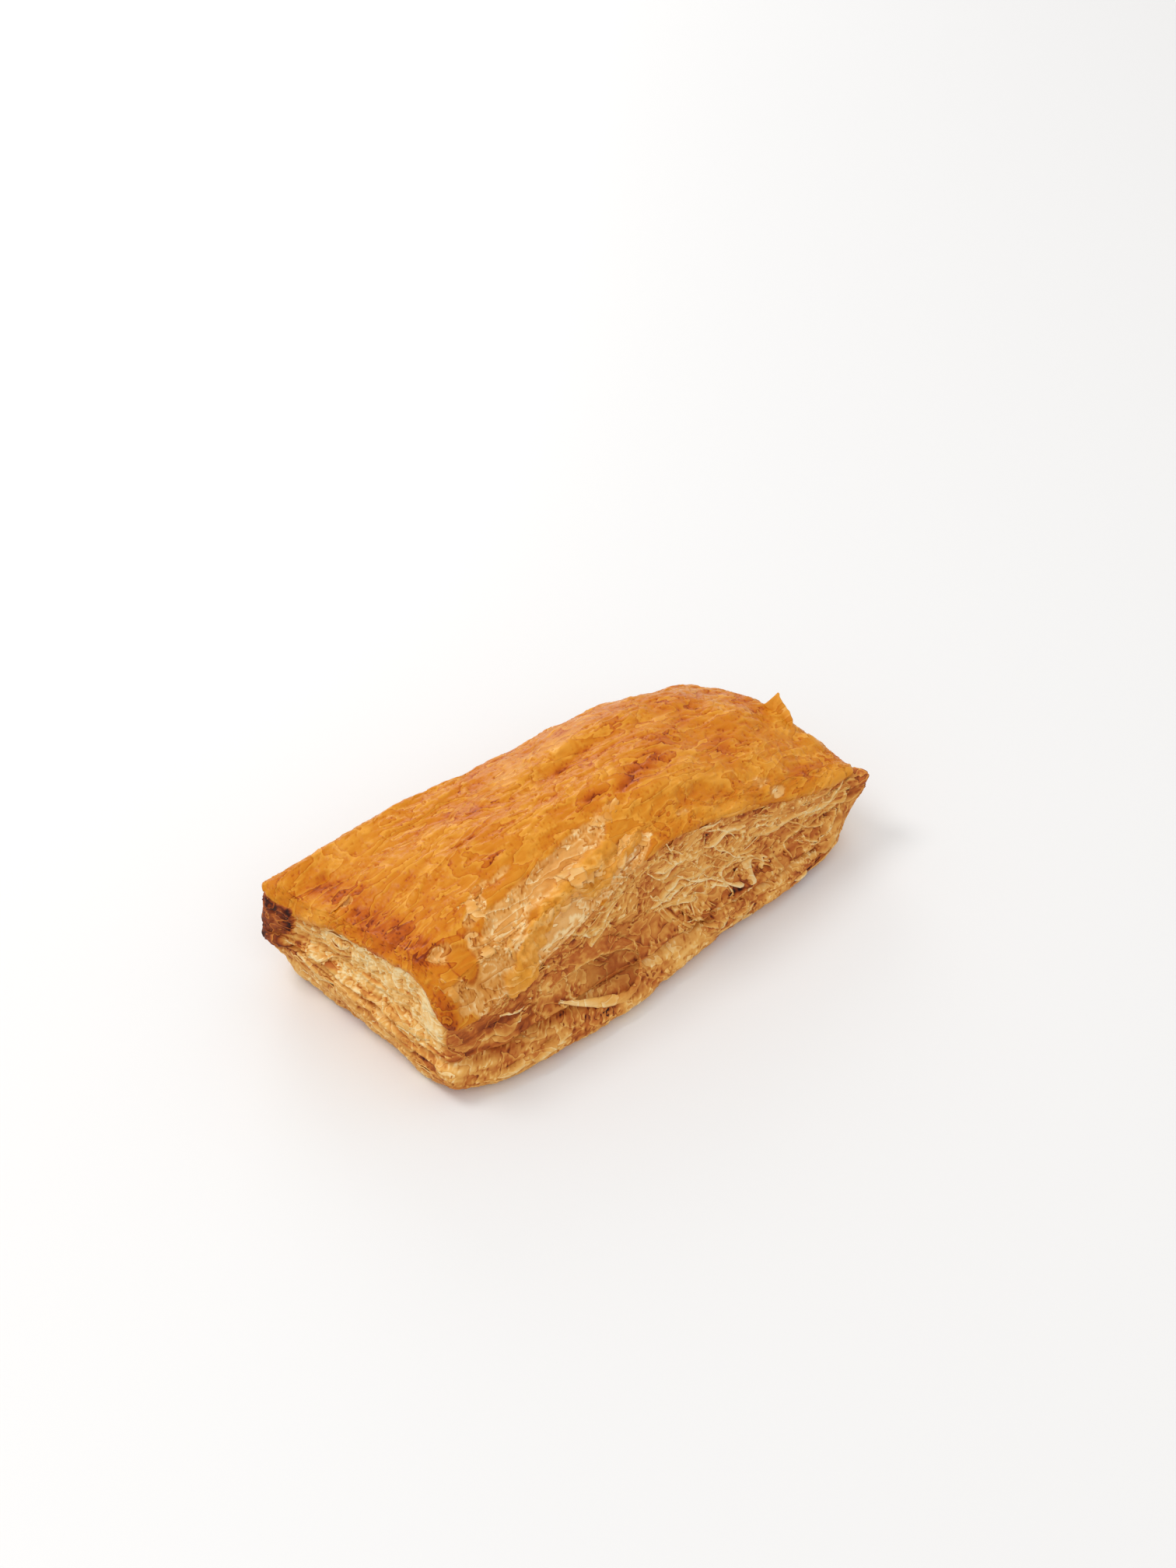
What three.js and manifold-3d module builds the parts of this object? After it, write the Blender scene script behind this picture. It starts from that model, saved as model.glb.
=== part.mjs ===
// A baked vegetable puff: one closed pillow of puff pastry, about 2:1 in plan, on its flat underside.
// The glazed top sheet ends in an eave over a hollow wall of torn layers, with a pinched seam below.
// Millimetres, +Z up, +X along the long side, origin on the underside in the middle of the whole plan.
import * as THREE from "three";
import { ImprovedNoise } from "three/addons/math/ImprovedNoise.js";
import { mergeVertices } from "three/addons/utils/BufferGeometryUtils.js";
import Module from "manifold-3d";

// ---- Driving sizes ----------------------------------------------------------------------------------
// The four corners of the plan, at the height of the seam: front left, front right, back right and
// back left, and the rough length of the front, the right end, the back and the left end.
const CORNERS = [[-65.5, -32], [75, -31], [66.5, 28.5], [-73.6, 32.2]];
const SIDE_LENGTHS = [140, 60, 139, 64];

// A place on the rim is a number from 0 to 4, up by one along each side in that same order. These lists
// give a value at even steps along the front, the right end, the back and the left end, each list from
// its side's first corner on. A smooth curve runs through them all and closes on itself.
const BULGE = [[0, 2, 3.3, 3.9, 4, 4, 3.7, 2.6], [0, 1.8, 2.4, 1.6], [0, 1.3, 1.6, 1.4], [0, 0, 0, 0]];
const SEAM_HEIGHT = [
  [10, 8.6, 9.5, 8.6, 9, 9.6, 7.4, 8], [18.6, 12, 11, 11.5], [12, 10.5, 11, 10.5],
  [12, 14.5, 15, 13.4, 12.6, 10.6],
];
const EAVE_HEIGHT = [
  [22.5, 20.8, 24.8, 29.5, 35.4, 34, 29.6, 24.4], [21.6, 22.8, 25.2, 23], [20, 24.6, 26.2, 27],
  [28.5, 25.6, 28.6, 29.4, 30.6, 31.6],
];
const TOP_HEIGHT = [
  [32.6, 33.6, 34.6, 36.4, 38.4, 38, 33.6, 28.8], [24.6, 27.8, 30.2, 28.2], [24.6, 31.8, 34.4, 36.2],
  [31, 29.4, 31.6, 32.2, 33.8, 35.2],
];
// How far each line of the side lies inside the bulged outline of the plan.
const BELLY_INSET = [
  [-1.2, -2.6, -3.8, -4.4, -4.6, -4.6, -4.2, -2.2], [0.4, -0.4, -0.6, 0.2], [1.5, -0.8, -1.4, -1],
  [1.2, 0, -0.4, -0.8],
];
const EAVE_INSET = [
  [0.5, 2, 4.8, 6.8, 7.6, 7.6, 6.4, 3.6], [1, 1.8, 2.2, 1.8], [1.2, 2, 2, 2],
  [0.4, 1.6, 2.2, 2.4, 2.6, 2.2],
];
const HOLLOW_INSET = [
  [1.2, 3.4, 5.8, 7.6, 8.4, 8.2, 7, 4], [1.2, 2.4, 2.8, 2.6], [1.6, 2.8, 3.2, 2.8],
  [1, 2.4, 2.8, 3, 3.2, 2.6],
];
const SHOULDER_INSET = [
  [4, 7.6, 9.8, 11.4, 12.2, 12.4, 10.6, 7.4], [4.5, 5.6, 6, 5.8], [5, 6, 6, 5.4],
  [3, 3.6, 4.2, 4.6],
];
const LIP = 0.5; // how far the pinched lips of the seam stand out
const LIP_RISE = 1.6; // from the seam's groove up, or down, to a lip
const GROOVE_DEPTH = 1.7;
const BOTTOM_INSET = 4.6;
const HEEL_INSET = 1.5;
const HEEL_HEIGHT = 1.6;
const BELLY_SHARE = 0.46; // of the seam's height

// How round each corner is at the underside and above the seam, and how far the pinched seam pokes out.
const LOW_RADII = [5, 8, 10, 8];
const HIGH_RADII = [3, 2.6, 5, 3];
const CORNER_POKES = [0.2, 2.8, 1.2, 0];
const POKE_REACH = 5; // along the side, away from the corner

// Broad swellings and dents of the top crust: [x, y, reach along X, reach along Y, height].
const CROWN = 2.4; // how far the middle of the top stands over its edges
const SWELLS = [
  [-38, 0, 20, 10, 1.2], [-6, -6, 20, 9, 1], [22, 14, 15, 7, 1.6], [50, 14, 12, 8, 1.8],
  [-55, -14, 10, 9, 0.8], [6, 7, 26, 3.2, -1.5], [-24, 15, 16, 4, -1], [40, -4, 8, 9, -1.2],
  [57, -3, 8, 6, 1], [-18, -16, 14, 5, -0.8],
];

// Relief of the flaky layers: height, and length along and across the layers.
const TOP_RELIEF = 0.55;
const TOP_GRAIN = [11, 5, 6];
const LAYER_RELIEF = 1.15;
const LAYER_LENGTH = 13;
const LAYER_PITCH = 3.3;

// The burnt patch that wraps the back left corner: its part of the rim, its heights and its thickness.
const BURNT = { from: 2.95, to: 3.13, low: 12.5, high: 25.5, proud: 0.9 };
// The pocket torn open between two layers, low on the front side.
const POCKET = { x: -10.4, y: -36, z: 11.6, halfLength: 7.6, halfDepth: 6.5, halfHeight: 3, tilt: -0.2 };
// The flake that stands up at the edge of the right end, and the tongue of pastry below the pocket.
const FLAP = { x: 70, y: -4.6, z: 26.6, width: 15, rise: 5.4, thick: 1.2, lean: -0.3, turn: 1.71 };
const TONGUE = { x: -18, y: -36.1, z: 7.9, length: 25, width: 4.6, thick: 2.4, lie: 0.67, tilt: 0.03 };

// Mesh divisions: along, across, and up the side between one line of the side and the next.
const ALONG = 60;
const ACROSS = 26;
const ROWS = [1, 2, 1, 1, 1, 1, 5, 1, 1, 3, 3]; // one entry for each gap in sideLines()
const UP = ROWS.reduce((sum, n) => sum + n, 0);
const FLATNESS = 0.01; // triangles that lie as flat as this are joined

// ---- Rules ------------------------------------------------------------------------------------------
const perlin = new ImprovedNoise();
const clamp01 = (v) => Math.min(1, Math.max(0, v));

// The value of a rim list at a place on the rim.
function alongRim(list, place) {
  const knots = list.flatMap((values, side) => values.map((v, i) => [side + i / values.length, v]));
  const count = knots.length;
  const p = ((place % 4) + 4) % 4;
  const next = knots.findIndex(([at]) => at > p);
  const k = next < 0 ? count : next;
  const knot = (i) => {
    const [at, value] = knots[(i + count) % count];
    return [at + 4 * Math.floor(i / count), value];
  };
  const [before, start, end, after] = [knot(k - 2), knot(k - 1), knot(k), knot(k + 1)];
  const span = end[0] - start[0];
  const startSlope = ((end[1] - before[1]) / (end[0] - before[0])) * span;
  const endSlope = ((after[1] - start[1]) / (after[0] - start[0])) * span;
  const t = (p - start[0]) / span;
  return (2 * t ** 3 - 3 * t ** 2 + 1) * start[1] + (t ** 3 - 2 * t ** 2 + t) * startSlope
    + (3 * t ** 2 - 2 * t ** 3) * end[1] + (t ** 3 - t ** 2) * endSlope;
}

// The corner nearest to a place on the rim, and how much of that corner's poke reaches the place.
const nearestCorner = (place) => Math.round(place) % 4;
function pokeAt(place) {
  const side = Math.floor(place) % 4;
  const apart = Math.abs(place - Math.round(place)) * SIDE_LENGTHS[side];
  return CORNER_POKES[nearestCorner(place)] * Math.exp(-((apart / POKE_REACH) ** 2));
}

// A point of the plan, moved inwards by inset: a rounded rectangle, spread over the four corners.
function planPoint(place, inset, radius) {
  const side = Math.floor(place) % 4;
  const t = 2 * (place - Math.floor(place)) - 1;
  const [a, b] = [[t, -1], [1, t], [-t, 1], [-1, -t]][side];
  const [halfX, halfY] = [SIDE_LENGTHS[0] / 2, SIDE_LENGTHS[1] / 2];
  let x = a * (halfX - inset);
  let y = b * (halfY - inset);
  const overX = Math.abs(x) - (halfX - inset - radius);
  const overY = Math.abs(y) - (halfY - inset - radius);
  if (overX > 0 && overY > 0) {
    const shrink = Math.max(overX, overY) / Math.hypot(overX, overY);
    x += Math.sign(x) * overX * (shrink - 1);
    y += Math.sign(y) * overY * (shrink - 1);
  }
  const [u, v] = [(x / halfX + 1) / 2, (y / halfY + 1) / 2];
  return [0, 1].map((i) =>
    (1 - v) * ((1 - u) * CORNERS[0][i] + u * CORNERS[1][i])
    + v * ((1 - u) * CORNERS[3][i] + u * CORNERS[2][i]));
}

// The lines of the side at a place on the rim, from the underside up: [inset, height, corner radius].
function sideLines(place) {
  const seam = alongRim(SEAM_HEIGHT, place);
  const eave = alongRim(EAVE_HEIGHT, place);
  const top = alongRim(TOP_HEIGHT, place);
  const bulge = alongRim(BULGE, place);
  const belly = alongRim(BELLY_INSET, place) - bulge;
  const eaveInset = alongRim(EAVE_INSET, place) - bulge;
  const hollow = alongRim(HOLLOW_INSET, place) - bulge;
  const shoulder = alongRim(SHOULDER_INSET, place) - bulge;
  const poke = pokeAt(place);
  const [low, high] = [LOW_RADII[nearestCorner(place)], HIGH_RADII[nearestCorner(place)]];
  const rise = eave - seam;
  return [
    [belly + BOTTOM_INSET, 0, low],
    [belly + HEEL_INSET, HEEL_HEIGHT, low],
    [belly, seam * BELLY_SHARE, low * 0.7 + high * 0.3],
    [(belly - bulge) * 0.35 - bulge * 0.3 - LIP - poke, seam - LIP_RISE, (low + high) / 2],
    [GROOVE_DEPTH - bulge - poke, seam, high],
    [-LIP * 0.3 - bulge - poke * 0.8, seam + LIP_RISE, high],
    [hollow * 0.7 - bulge * 0.3, seam + LIP_RISE + rise * 0.18, high],
    [hollow, seam + rise * 0.84, high],
    [eaveInset + 0.6, eave - 0.6, high],
    [eaveInset - 0.2, eave + 0.6, high],
    [eaveInset * 0.5 + shoulder * 0.5, eave + (top - eave) * 0.68, high],
    [shoulder, top, high],
  ];
}

// Row r of the side at a place on the rim: which gap between lines it lies in, and how far up that gap.
function rowPosition(r) {
  let gap = 0;
  let left = r;
  while (gap < ROWS.length - 1 && left > ROWS[gap]) left -= ROWS[gap++];
  return [gap, left / ROWS[gap]];
}

// A point of the side, with the torn layers as long ridges that break and start again.
function sidePoint(place, r) {
  const lines = sideLines(place);
  const [gap, share] = rowPosition(r);
  const [inset, z, radius] = lines[gap].map((v, i) => v + (lines[gap + 1][i] - v) * share);
  const plain = planPoint(place, inset, radius);
  const wall = clamp01((r - 1) / 2) * clamp01((UP - r) / 4);
  const along = place < 1 || (place >= 2 && place < 3) ? plain[0] : plain[1];
  const layers = perlin.noise(along / LAYER_LENGTH, z / LAYER_PITCH, place * 3)
    + 0.5 * perlin.noise(along / 4.5, z / 5, 7.3);
  const isBurnt = place > BURNT.from && place < BURNT.to && z > BURNT.low && z < BURNT.high;
  const out = LAYER_RELIEF * wall * layers + (isBurnt ? BURNT.proud : 0);
  const [x, y] = planPoint(place, inset - out, radius);
  return new THREE.Vector3(x, y, z);
}

// A patch between the four rim curves at row r: a and b run from -1 to 1 along X and Y.
function patchPoint(a, b, r) {
  const u = (a + 1) / 2;
  const v = (b + 1) / 2;
  const edge = (place) => sidePoint(place, r);
  const [front, back] = [edge(u), edge(3 - u)];
  const [left, right] = [edge(4 - v), edge(1 + v)];
  const ends = [edge(0), edge(1), edge(3), edge(2)];
  const weights = [(1 - u) * (1 - v), u * (1 - v), (1 - u) * v, u * v];
  const p = new THREE.Vector3();
  p.addScaledVector(front, 1 - v).addScaledVector(back, v);
  p.addScaledVector(left, 1 - u).addScaledVector(right, u);
  ends.forEach((end, i) => p.addScaledVector(end, -weights[i]));
  return p;
}

// How high the top crust stands over its patch: the crown, the broad swells and the crackle of the glaze.
function topRise(x, y, z, a, b) {
  const inside = clamp01((1 - a ** 4) * (1 - b ** 4) * 1.6);
  const swell = SWELLS.reduce((sum, [atX, atY, reachX, reachY, height]) =>
    sum + height * Math.exp(-(((x - atX) / reachX) ** 2) - ((y - atY) / reachY) ** 2), 0);
  const crackle = perlin.noise(x / TOP_GRAIN[0], y / TOP_GRAIN[1], z / TOP_GRAIN[2]);
  return inside * (CROWN * (1 - a * a) ** 0.5 * (1 - b * b) ** 0.5 + swell + TOP_RELIEF * crackle);
}

// ---- Solids -----------------------------------------------------------------------------------------
const wasm = await Module();
wasm.setup();

function solidOf(geometry) {
  const bare = geometry.clone();
  bare.deleteAttribute("normal");
  bare.deleteAttribute("uv");
  const merged = mergeVertices(bare, 1e-4);
  return new wasm.Manifold(new wasm.Mesh({
    numProp: 3,
    vertProperties: new Float32Array(merged.attributes.position.array),
    triVerts: new Uint32Array(merged.index.array),
  }));
}

function geometryOf(solid) {
  const { vertProperties, triVerts } = solid.getMesh();
  const geometry = new THREE.BufferGeometry();
  geometry.setAttribute("position", new THREE.BufferAttribute(vertProperties, 3));
  geometry.setIndex(new THREE.BufferAttribute(triVerts, 1));
  geometry.computeVertexNormals();
  return geometry;
}

// The whole pillow: a divided box, its skin moved to the side's lines, the domed top and the underside.
function pillow() {
  const box = new THREE.BoxGeometry(2, 2, 2, ALONG, ACROSS, UP);
  const at = box.attributes.position;
  for (let i = 0; i < at.count; i += 1) {
    const [a, b, c] = [at.getX(i), at.getY(i), at.getZ(i)];
    const row = Math.round(((c + 1) / 2) * UP);
    let p;
    if (b < -1 + 1e-6) p = sidePoint((a + 1) / 2, row);
    else if (a > 1 - 1e-6) p = sidePoint(1 + (b + 1) / 2, row);
    else if (b > 1 - 1e-6) p = sidePoint(2 + (1 - a) / 2, row);
    else if (a < -1 + 1e-6) p = sidePoint(3 + (1 - b) / 2, row);
    else p = patchPoint(a, b, row);
    if (row === UP) p.z += topRise(p.x, p.y, p.z, a, b);
    at.setXYZ(i, p.x, p.y, p.z);
  }
  return solidOf(box);
}

// A rounded hollow, pushed into the front side.
function pocketCut() {
  const hollow = new THREE.SphereGeometry(1, 20, 12);
  hollow.scale(POCKET.halfLength, POCKET.halfDepth, POCKET.halfHeight);
  hollow.rotateY(POCKET.tilt);
  hollow.translate(POCKET.x, POCKET.y, POCKET.z);
  return solidOf(hollow);
}

// A flat flake of even thickness, from a start and curves [controlX, controlY, x, y] round its outline.
function flake(start, curves, thick) {
  const outline = new THREE.Shape();
  outline.moveTo(...start);
  curves.forEach((curve) => outline.quadraticCurveTo(...curve));
  outline.closePath();
  return new THREE.ExtrudeGeometry(outline, { depth: thick, bevelEnabled: false, curveSegments: 6 });
}

// The pointed flake standing up from the crust: highest near one end, and rooted 3 mm down.
function flapSolid() {
  const half = FLAP.width / 2;
  const flap = flake([-half, -3], [
    [half * 0.2, -3, half, -3], [half * 1.05, FLAP.rise * 0.4, half * 0.4, FLAP.rise],
    [half * 0.1, FLAP.rise * 0.55, -half, FLAP.rise * 0.2],
  ], FLAP.thick);
  flap.rotateX(Math.PI / 2 - FLAP.lean);
  flap.rotateZ(FLAP.turn);
  flap.translate(FLAP.x, FLAP.y, FLAP.z);
  return solidOf(flap);
}

// The pale tongue of pastry that lies along the seam, below the pocket.
function tongueSolid() {
  const half = TONGUE.length / 2;
  const tongue = flake([-half, 0], [
    [0, TONGUE.width * 0.2, half, TONGUE.width], [half * 0.9, 0, half * 0.7, -TONGUE.width * 0.3],
    [0, -TONGUE.width * 0.7, -half, 0],
  ], TONGUE.thick);
  tongue.rotateX(TONGUE.lie);
  tongue.rotateY(-TONGUE.tilt);
  tongue.translate(TONGUE.x, TONGUE.y, TONGUE.z);
  return solidOf(tongue);
}

// ---- The puff ---------------------------------------------------------------------------------------
const goldenCrust = new THREE.MeshStandardMaterial({ color: 0xc98a3c, roughness: 0.55, metalness: 0 });

const whole = pillow().subtract(pocketCut()).add(flapSolid()).add(tongueSolid()).simplify(FLATNESS);
const { min, max } = whole.boundingBox();
const centred = whole.translate([-(min[0] + max[0]) / 2, -(min[1] + max[1]) / 2, -min[2]]);
const puff = new THREE.Mesh(geometryOf(centred), goldenCrust);
puff.name = "vegetable_puff";

const group = new THREE.Group();
group.add(puff);

export default group;
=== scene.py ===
# A baked vegetable puff: a pillow of puff pastry with an egg-washed golden top, flaky sides torn open
# along the front, a pinched seam low round its sides and a flat underside.
import bmesh
import bpy
import numpy as np
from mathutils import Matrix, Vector


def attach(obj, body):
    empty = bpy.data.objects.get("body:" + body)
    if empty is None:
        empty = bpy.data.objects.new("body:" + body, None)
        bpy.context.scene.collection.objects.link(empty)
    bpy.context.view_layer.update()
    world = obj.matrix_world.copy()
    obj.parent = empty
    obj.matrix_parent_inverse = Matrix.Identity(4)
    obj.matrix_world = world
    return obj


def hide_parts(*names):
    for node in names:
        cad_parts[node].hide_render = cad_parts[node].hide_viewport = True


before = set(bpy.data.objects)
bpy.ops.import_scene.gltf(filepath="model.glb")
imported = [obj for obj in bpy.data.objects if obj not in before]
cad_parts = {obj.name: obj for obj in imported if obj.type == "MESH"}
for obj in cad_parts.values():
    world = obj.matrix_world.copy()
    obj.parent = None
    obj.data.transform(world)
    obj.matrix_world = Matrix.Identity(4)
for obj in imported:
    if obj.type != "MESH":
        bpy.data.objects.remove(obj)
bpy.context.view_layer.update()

# ---- The table under it, the light and the camera ----------------------------------------------------
# A plain pale tabletop in a pale room, under three large soft lamps: one behind the puff, as at a
# window, one in front of it and one high up. The camera looks down at its near left corner.
TABLETOP_REACH = 2.5  # metres, from the middle to each edge
LAMP_TARGET = Vector((0, 0, 0.02))
LAMPS = [  # name, place, size, watts, colour
    ("window light", (0.42, 0.86, 0.36), 0.5, 1.5, "FFFFFF"),
    ("room light", (-0.3, -0.75, 1.0), 0.8, 1.6, "FFFEFB"),
    ("high light", (-0.35, 0.45, 0.9), 0.42, 3.3, "FFFFFF")]
ROOM_COLOUR, ROOM_STRENGTH = "FCFCFC", 0.83
CAMERA_PLACE, CAMERA_TARGET = Vector((-0.28552, -0.32600, 0.42966)), Vector((0.03661, 0.03810, -0.0050))
CAMERA_LENS, CAMERA_SENSOR = 53.57, 36  # both in mm


def linear(hex_colour):
    """The linear colour of an sRGB hex value such as "D9952F"."""
    parts = [int(hex_colour[i:i + 2], 16) / 255 for i in (0, 2, 4)]
    return [p / 12.92 if p <= 0.04045 else ((p + 0.055) / 1.055) ** 2.4 for p in parts] + [1.0]


def new_material(name):
    material = bpy.data.materials.new(name)
    material.use_nodes = True
    return material, material.node_tree.nodes["Principled BSDF"]


def looking_at(target, place):
    """The turn of a lamp or camera at the place that looks at the target."""
    return (target - place).to_track_quat("-Z", "Y").to_euler()


tabletop_bm = bmesh.new()
bmesh.ops.create_grid(tabletop_bm, x_segments=8, y_segments=8, size=TABLETOP_REACH)
tabletop_mesh = bpy.data.meshes.new("tabletop")
tabletop_bm.to_mesh(tabletop_mesh)
tabletop_bm.free()
tabletop = bpy.data.objects.new("tabletop", tabletop_mesh)
bpy.context.collection.objects.link(tabletop)
pale_glaze, shader = new_material("pale glazed tabletop")
shader.inputs["Base Color"].default_value = linear("EBEAE9")
shader.inputs["Roughness"].default_value = 0.45
tabletop_mesh.materials.append(pale_glaze)

world = bpy.data.worlds.new("pale room")
world.use_nodes = True
world.node_tree.nodes["Background"].inputs["Color"].default_value = linear(ROOM_COLOUR)
world.node_tree.nodes["Background"].inputs["Strength"].default_value = ROOM_STRENGTH
bpy.context.scene.world = world
bpy.context.scene.view_settings.view_transform = "Standard"

for lamp_name, lamp_place, lamp_size, watts, lamp_colour in LAMPS:
    lamp_data = bpy.data.lights.new(lamp_name, "AREA")
    lamp_data.shape = "DISK"
    lamp_data.size = lamp_size
    lamp_data.energy = watts
    lamp_data.color = linear(lamp_colour)[:3]
    lamp = bpy.data.objects.new(lamp_name, lamp_data)
    lamp.location = lamp_place
    lamp.rotation_euler = looking_at(LAMP_TARGET, Vector(lamp_place))
    bpy.context.collection.objects.link(lamp)

camera_data = bpy.data.cameras.new("camera")
camera_data.lens = CAMERA_LENS
camera_data.sensor_width = CAMERA_SENSOR
camera = bpy.data.objects.new("camera", camera_data)
camera.location = CAMERA_PLACE
camera.rotation_euler = looking_at(CAMERA_TARGET, CAMERA_PLACE)
bpy.context.collection.objects.link(camera)
bpy.context.scene.camera = camera

# ---- Flaky sides -------------------------------------------------------------------------------------
# The sides of the pillow: below, a dry pale belly; then the pinched seam; above it, the cut edges of the
# many dough layers, puffed apart and torn along the front. Baked dough, dry, brown where it's thin.
MM = 0.001
# A place on the rim counts from 0 to 4: up to 1 along the front, then the right end, the back and the
# left end. The lists are millimetres at even steps along those four sides.
CORNERS = [[-65.5, -32], [75, -31], [66.5, 28.5], [-73.6, 32.2]]
SIDE_LENGTHS = [140, 60, 139, 64]
CENTRE = (0.789, -3.204)  # of the whole plan, which is the object's origin
BULGE = [[0, 2, 3.3, 3.9, 4, 4, 3.7, 2.6], [0, 1.8, 2.4, 1.6], [0, 1.3, 1.6, 1.4], [0, 0, 0, 0]]
SEAM_HEIGHT = [
    [10, 8.6, 9.5, 8.6, 9, 9.6, 7.4, 8], [18.6, 12, 11, 11.5], [12, 10.5, 11, 10.5],
    [12, 14.5, 15, 13.4, 12.6, 10.6]]
EAVE_HEIGHT = [
    [22.5, 22.2, 25.4, 29.5, 35.4, 34, 29.6, 24.4], [21.6, 22.8, 25.2, 23], [20, 24.6, 26.2, 27],
    [28.5, 25.6, 28.6, 29.4, 30.6, 31.6]]
TOP_HEIGHT = [
    [32.6, 33.6, 34.6, 36.4, 38.4, 38, 33.6, 28.8], [24.6, 27.8, 30.2, 28.2], [25, 32.6, 33.4, 34.9],
    [31, 29.4, 31.6, 32.2, 33.8, 35.2]]
BELLY_INSET = [
    [-2.2, -4.4, -5.4, -5, -3.4, -2.2, -2.2, -1.2], [0.4, -0.4, -0.6, 0.2], [1.5, -0.8, -1.4, -1],
    [1.4, 1.2, 0.5, -0.4]]
EAVE_INSET = [
    [0.5, 2, 4.8, 6.8, 7.6, 7.6, 6.4, 3.6], [1, 1.8, 2.2, 1.8], [1.2, 2, 2, 2],
    [0.4, 1.6, 2.2, 2.4, 2.6, 2.2]]
HOLLOW_INSET = [
    [1.2, 3.4, 5.8, 7.6, 8.4, 8.2, 7, 4], [1.2, 2.4, 2.8, 2.6], [1.6, 2.8, 3.2, 2.8],
    [1, 2.4, 2.8, 3, 3.2, 2.6]]
SHOULDER_INSET = [
    [4, 7.6, 9.8, 11.4, 12.2, 12.4, 10.6, 7.4], [4.5, 5.6, 6, 5.8], [5, 6, 6, 5.4], [3, 3.6, 4.2, 4.6]]
LOW_RADII, HIGH_RADII = [5, 8, 10, 8], [3, 2.6, 5, 3]
CORNER_POKES, POKE_REACH = [0.2, 2.5, 1.2, 0], 4.6
SIDE_COLUMNS = [280, 120, 280, 120]
SIDE_ROWS = [5, 6, 8, 6, 6, 11, 32, 6, 3]  # between one line of the side and the next


def noise(x, y, z, seed=0):
    """Smooth gradient noise from -1 to 1, the same for the same place and seed."""
    x, y, z = np.broadcast_arrays(np.asarray(x, float), np.asarray(y, float), np.asarray(z, float))
    cell = [np.floor(v).astype(np.int64) for v in (x, y, z)]
    part = [v - c for v, c in zip((x, y, z), cell)]
    ease = [t * t * t * (t * (t * 6 - 15) + 10) for t in part]
    total = np.zeros(x.shape)
    for corner in range(8):
        step = [corner & 1, corner >> 1 & 1, corner >> 2]
        code = ((cell[0] + step[0]) * 73856093) ^ ((cell[1] + step[1]) * 19349663)
        code = (code ^ ((cell[2] + step[2]) * 83492791) ^ (seed * 26544357 + 97)) & 0xFFFFFFFF
        code = ((code ^ (code >> 13)) * 1274126177) & 0xFFFFFFFF
        code ^= code >> 16
        weight = np.ones(x.shape)
        value = np.zeros(x.shape)
        for axis in range(3):
            slope = ((code >> (8 * axis)) & 255) / 127.5 - 1
            value += slope * (part[axis] - step[axis])
            weight *= ease[axis] if step[axis] else 1 - ease[axis]
        total += value * weight
    return np.clip(total * 1.5, -1, 1)


def grain(p, size, seed=0, octaves=3):
    """Layered noise over points in mm: size is the largest feature along X, Y and Z."""
    sizes = np.ones(3) * size
    total, scale = 0, 1.0
    for k in range(octaves):
        total = total + noise(*(p[:, i] / sizes[i] / scale for i in range(3)), seed + 11 * k) * scale ** 0.8
        scale *= 0.5
    return total / 1.5


def smooth(low, high, value):
    """Rises smoothly from 0 where the value is low to 1 where it's high."""
    t = np.clip((value - low) / (high - low), 0, 1)
    return t * t * (3 - 2 * t)


def rim_curve(sides):
    """A closed smooth curve through one list of values for each side."""
    at = np.concatenate([side + np.arange(len(v)) / len(v) for side, v in enumerate(sides)])
    value = np.concatenate([np.asarray(v, float) for v in sides])
    slope = (np.roll(value, -1) - np.roll(value, 1)) / ((np.roll(at, -1) - np.roll(at, 1)) % 4)

    def curve(place):
        p = np.mod(place, 4)
        k = np.searchsorted(at, p, side="right") - 1
        n = (k + 1) % len(at)
        span = (at[n] - at[k]) % 4
        t = (p - at[k]) / span
        return ((2 * t ** 3 - 3 * t ** 2 + 1) * value[k] + (t ** 3 - 2 * t ** 2 + t) * span * slope[k]
                + (3 * t ** 2 - 2 * t ** 3) * value[n] + (t ** 3 - t ** 2) * span * slope[n])
    return curve


bulge_at, seam_at, eave_at, top_at, belly_at, eave_inset_at, hollow_at, shoulder_at = map(rim_curve, (
    BULGE, SEAM_HEIGHT, EAVE_HEIGHT, TOP_HEIGHT, BELLY_INSET, EAVE_INSET, HOLLOW_INSET, SHOULDER_INSET))


def plan_point(place, inset, radius):
    """A point of the plan, moved inwards by inset: a rounded rectangle, spread over the four corners."""
    side = np.floor(place).astype(int) % 4
    t = 2 * (place - np.floor(place)) - 1
    one = np.ones_like(t)
    a, b = np.choose(side, [t, one, -t, -one]), np.choose(side, [-one, t, one, -t])
    half_x, half_y = SIDE_LENGTHS[0] / 2, SIDE_LENGTHS[1] / 2
    x, y = a * (half_x - inset), b * (half_y - inset)
    over_x, over_y = np.abs(x) - (half_x - inset - radius), np.abs(y) - (half_y - inset - radius)
    round_off = (over_x > 0) & (over_y > 0)
    shrink = np.where(round_off, np.maximum(over_x, over_y) / np.maximum(np.hypot(over_x, over_y), 1e-9), 1)
    x = np.where(round_off, x + np.sign(x) * over_x * (shrink - 1), x)
    y = np.where(round_off, y + np.sign(y) * over_y * (shrink - 1), y)
    u, v = (x / half_x + 1) / 2, (y / half_y + 1) / 2
    return [(1 - v) * ((1 - u) * CORNERS[0][i] + u * CORNERS[1][i])
            + v * ((1 - u) * CORNERS[3][i] + u * CORNERS[2][i]) - CENTRE[i] for i in (0, 1)]


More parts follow.
